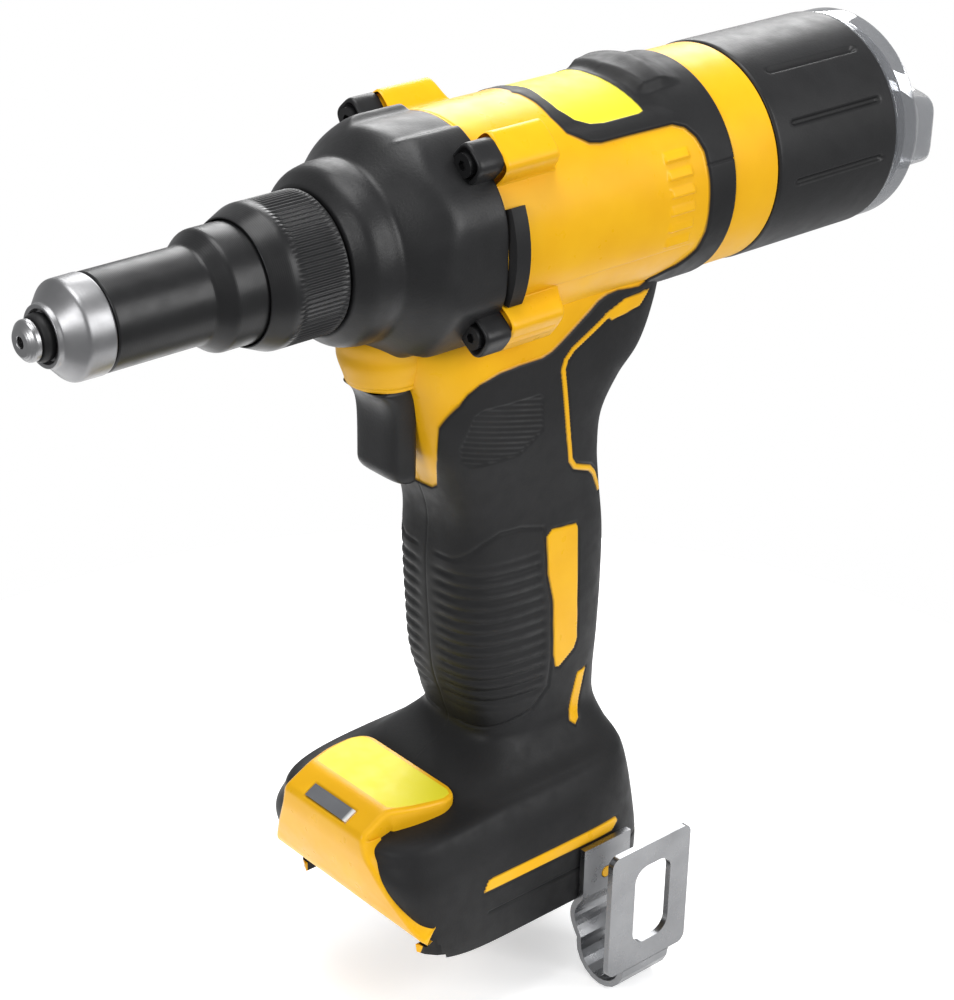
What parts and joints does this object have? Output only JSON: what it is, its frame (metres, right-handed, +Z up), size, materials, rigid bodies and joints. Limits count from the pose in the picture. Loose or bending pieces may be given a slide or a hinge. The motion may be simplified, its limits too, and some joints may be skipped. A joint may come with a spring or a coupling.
{
  "type": "battery rivet tool",
  "caption": "Pistol-shaped battery blind rivet tool with a ball screw puller, knurled nose nut, trigger, clear rear mandrel bin, slide-on battery foot and side belt hook.",
  "frame": {"origin": "centre of the flat tip of the nosepiece, on the barrel axis", "axes": "barrel along Y with the nose towards -Y, Z up, +X towards the side with the belt hook"},
  "size_m": [0.0974, 0.308, 0.28],
  "materials": {
    "steel": "machined or formed, bright",
    "bright_collar": "turned and plated",
    "black_steel": "blackened, satin",
    "black_case": "moulded, satin",
    "yellow_shell": "moulded, half gloss",
    "black_overmould": "soft, fine grain",
    "clear_cap": "clear moulded plastic",
    "lamp": "diffuse lens",
    "copper": "wound or stamped",
    "board": "coated",
    "lead_cover": "sleeved"
  },
  "bodies": {
    "housing": {"nosepiece": "steel", "screw_guide": "steel", "nut_bearings": "steel", "thrust_bearing": "steel", "idler_axle": "steel", "gear_plate": "steel", "motor_bearings": "steel", "trigger_spring": "steel", "belt_hook": "steel", "mandrel_tube": "steel", "nose_collar": "bright_collar", "nose_sleeve": "black_steel", "gearcase_screws": "black_steel", "housing_screws": "black_steel", "motor_stator": "black_steel", "gearcase_cover": "black_case", "switch_body": "black_case", "terminal_block": "black_case", "left_housing": "yellow_shell", "right_housing": "yellow_shell", "rear_ring": "yellow_shell", "foot_bezel": "yellow_shell", "hook_latch": "yellow_shell", "left_grip": "black_overmould", "right_grip": "black_overmould", "rear_band": "black_overmould", "side_bumpers": "black_overmould", "lamp_lens": "lamp", "motor_coils": "copper", "battery_contacts": "copper", "control_board": "board", "lamp_board": "board", "motor_leads": "lead_cover"},
    "trigger": {"trigger": "black_case"},
    "pull_rod": {"ball_screw": "steel", "jaw_case": "steel", "jaws": "steel", "jaw_pusher": "steel", "jaw_spring": "steel", "guide_block": "steel"},
    "ball_nut": {"ball_nut": "steel", "nut_gear": "steel"},
    "idler": {"idler_gear": "steel"},
    "rotor": {"rotor_shaft": "steel", "rotor_magnets": "black_steel", "motor_pinion": "steel", "cooling_fan": "black_case"},
    "collector": {"collector": "black_case"},
    "end_cap": {"end_cap": "clear_cap"},
    "retaining_nut": {"retaining_nut": "black_steel"}
  },
  "joints": [
    {"name": "nut_spin", "type": "hinge", "parent": "housing", "child": "ball_nut", "pos_m": [0, 0.14, 0], "axis": [0, 1, 0], "range_deg": [-1, 1801]},
    {"name": "screw_stroke", "type": "slide", "parent": "housing", "child": "pull_rod", "axis": [0, 1, 0], "range_m": [0, 0.025]},
    {"name": "idler_spin", "type": "hinge", "parent": "housing", "child": "idler", "pos_m": [0, 0.14, -0.028], "axis": [0, 1, 0], "range_deg": [-6601, 1]},
    {"name": "rotor_spin", "type": "hinge", "parent": "housing", "child": "rotor", "pos_m": [0, 0.16, -0.0464], "axis": [0, 1, 0], "range_deg": [-1, 23761]},
    {"name": "trigger_pull", "type": "slide", "parent": "housing", "child": "trigger", "axis": [0, 1, 0], "range_m": [0, 0.005], "stiffness_N_per_m": 600, "springref_m": -0.005, "deforming": ["trigger_spring"]},
    {"name": "collector_twist", "type": "hinge", "parent": "housing", "child": "collector", "pos_m": [0, 0.24, 0], "axis": [0, 1, 0], "range_deg": [0, 40]},
    {"name": "end_cap_twist", "type": "hinge", "parent": "collector", "child": "end_cap", "pos_m": [0, 0.29, 0], "axis": [0, 1, 0], "range_deg": [0, 60]},
    {"name": "retaining_nut_turn", "type": "hinge", "parent": "housing", "child": "retaining_nut", "pos_m": [0, 0.075, 0], "axis": [0, 1, 0], "range_deg": [0, 360]}
  ],
  "couplings": [
    {"joint": "nut_spin", "follows": "screw_stroke", "rad_per_m": 1256.6},
    {"joint": "idler_spin", "follows": "screw_stroke", "rad_per_m": -4607.7},
    {"joint": "rotor_spin", "follows": "screw_stroke", "rad_per_m": 16588}
  ]
}
